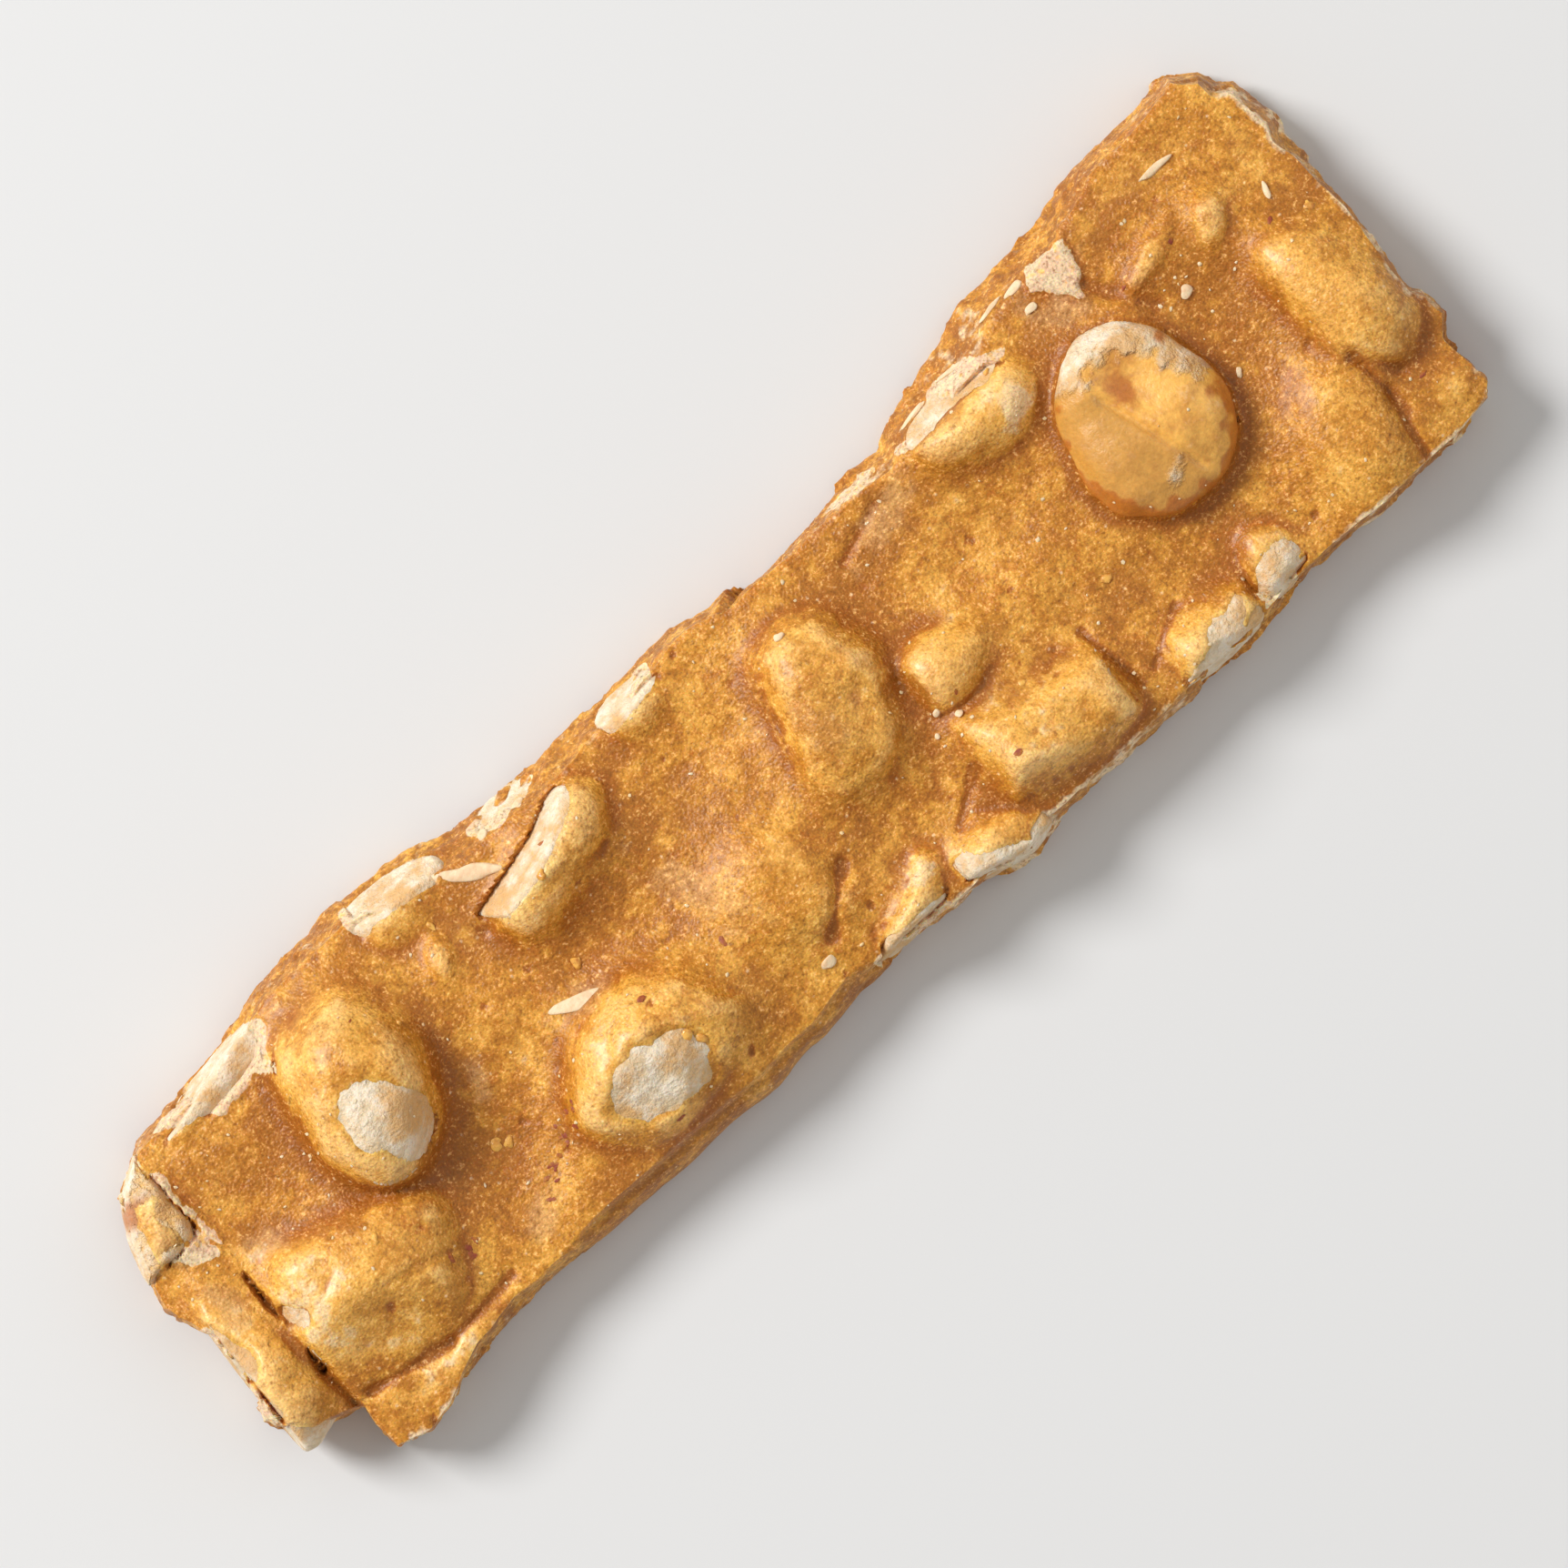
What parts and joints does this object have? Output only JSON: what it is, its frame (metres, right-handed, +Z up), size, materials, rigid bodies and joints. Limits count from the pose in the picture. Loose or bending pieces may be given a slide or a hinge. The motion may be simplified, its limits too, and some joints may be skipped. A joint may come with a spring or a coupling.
{
  "type": "peanut brittle shard",
  "caption": "Long flat shard of amber peanut brittle with broken edges and roasted peanuts set in its top and sides.",
  "frame": {"origin": "bottom centre of the shard: the middle of its length and width, on the flat underside", "axes": "+X along the shard's length, +Y across it, +Z up, away from the flat underside"},
  "size_m": [0.1127, 0.0318, 0.0099],
  "materials": {
    "amber_candy": "satin amber candy, slightly cloudy, with fine grain and cream-white broken edges",
    "roasted_peanut": "roasted peanut with a thin amber glaze, cream-white where it is broken or bare"
  },
  "bodies": {
    "root": {"candy_slab": "amber_candy", "peanut_standing": "roasted_peanut", "peanut_block": "roasted_peanut", "peanut_end_lobe": "roasted_peanut", "peanut_corner_chip": "roasted_peanut", "peanut_cut_half": "roasted_peanut", "peanut_bare_patch": "roasted_peanut", "peanut_wedge": "roasted_peanut", "peanut_tip": "roasted_peanut", "peanut_big_chunk": "roasted_peanut", "peanut_edge_wedge": "roasted_peanut", "peanut_edge_chip": "roasted_peanut", "peanut_slim": "roasted_peanut", "peanut_half": "roasted_peanut", "peanut_end_long": "roasted_peanut", "peanut_edge_small": "roasted_peanut", "peanut_edge_chunk": "roasted_peanut", "peanut_rim_1": "roasted_peanut", "peanut_rim_2": "roasted_peanut", "peanut_rim_3": "roasted_peanut", "peanut_rim_4": "roasted_peanut"}
  },
  "joints": []
}
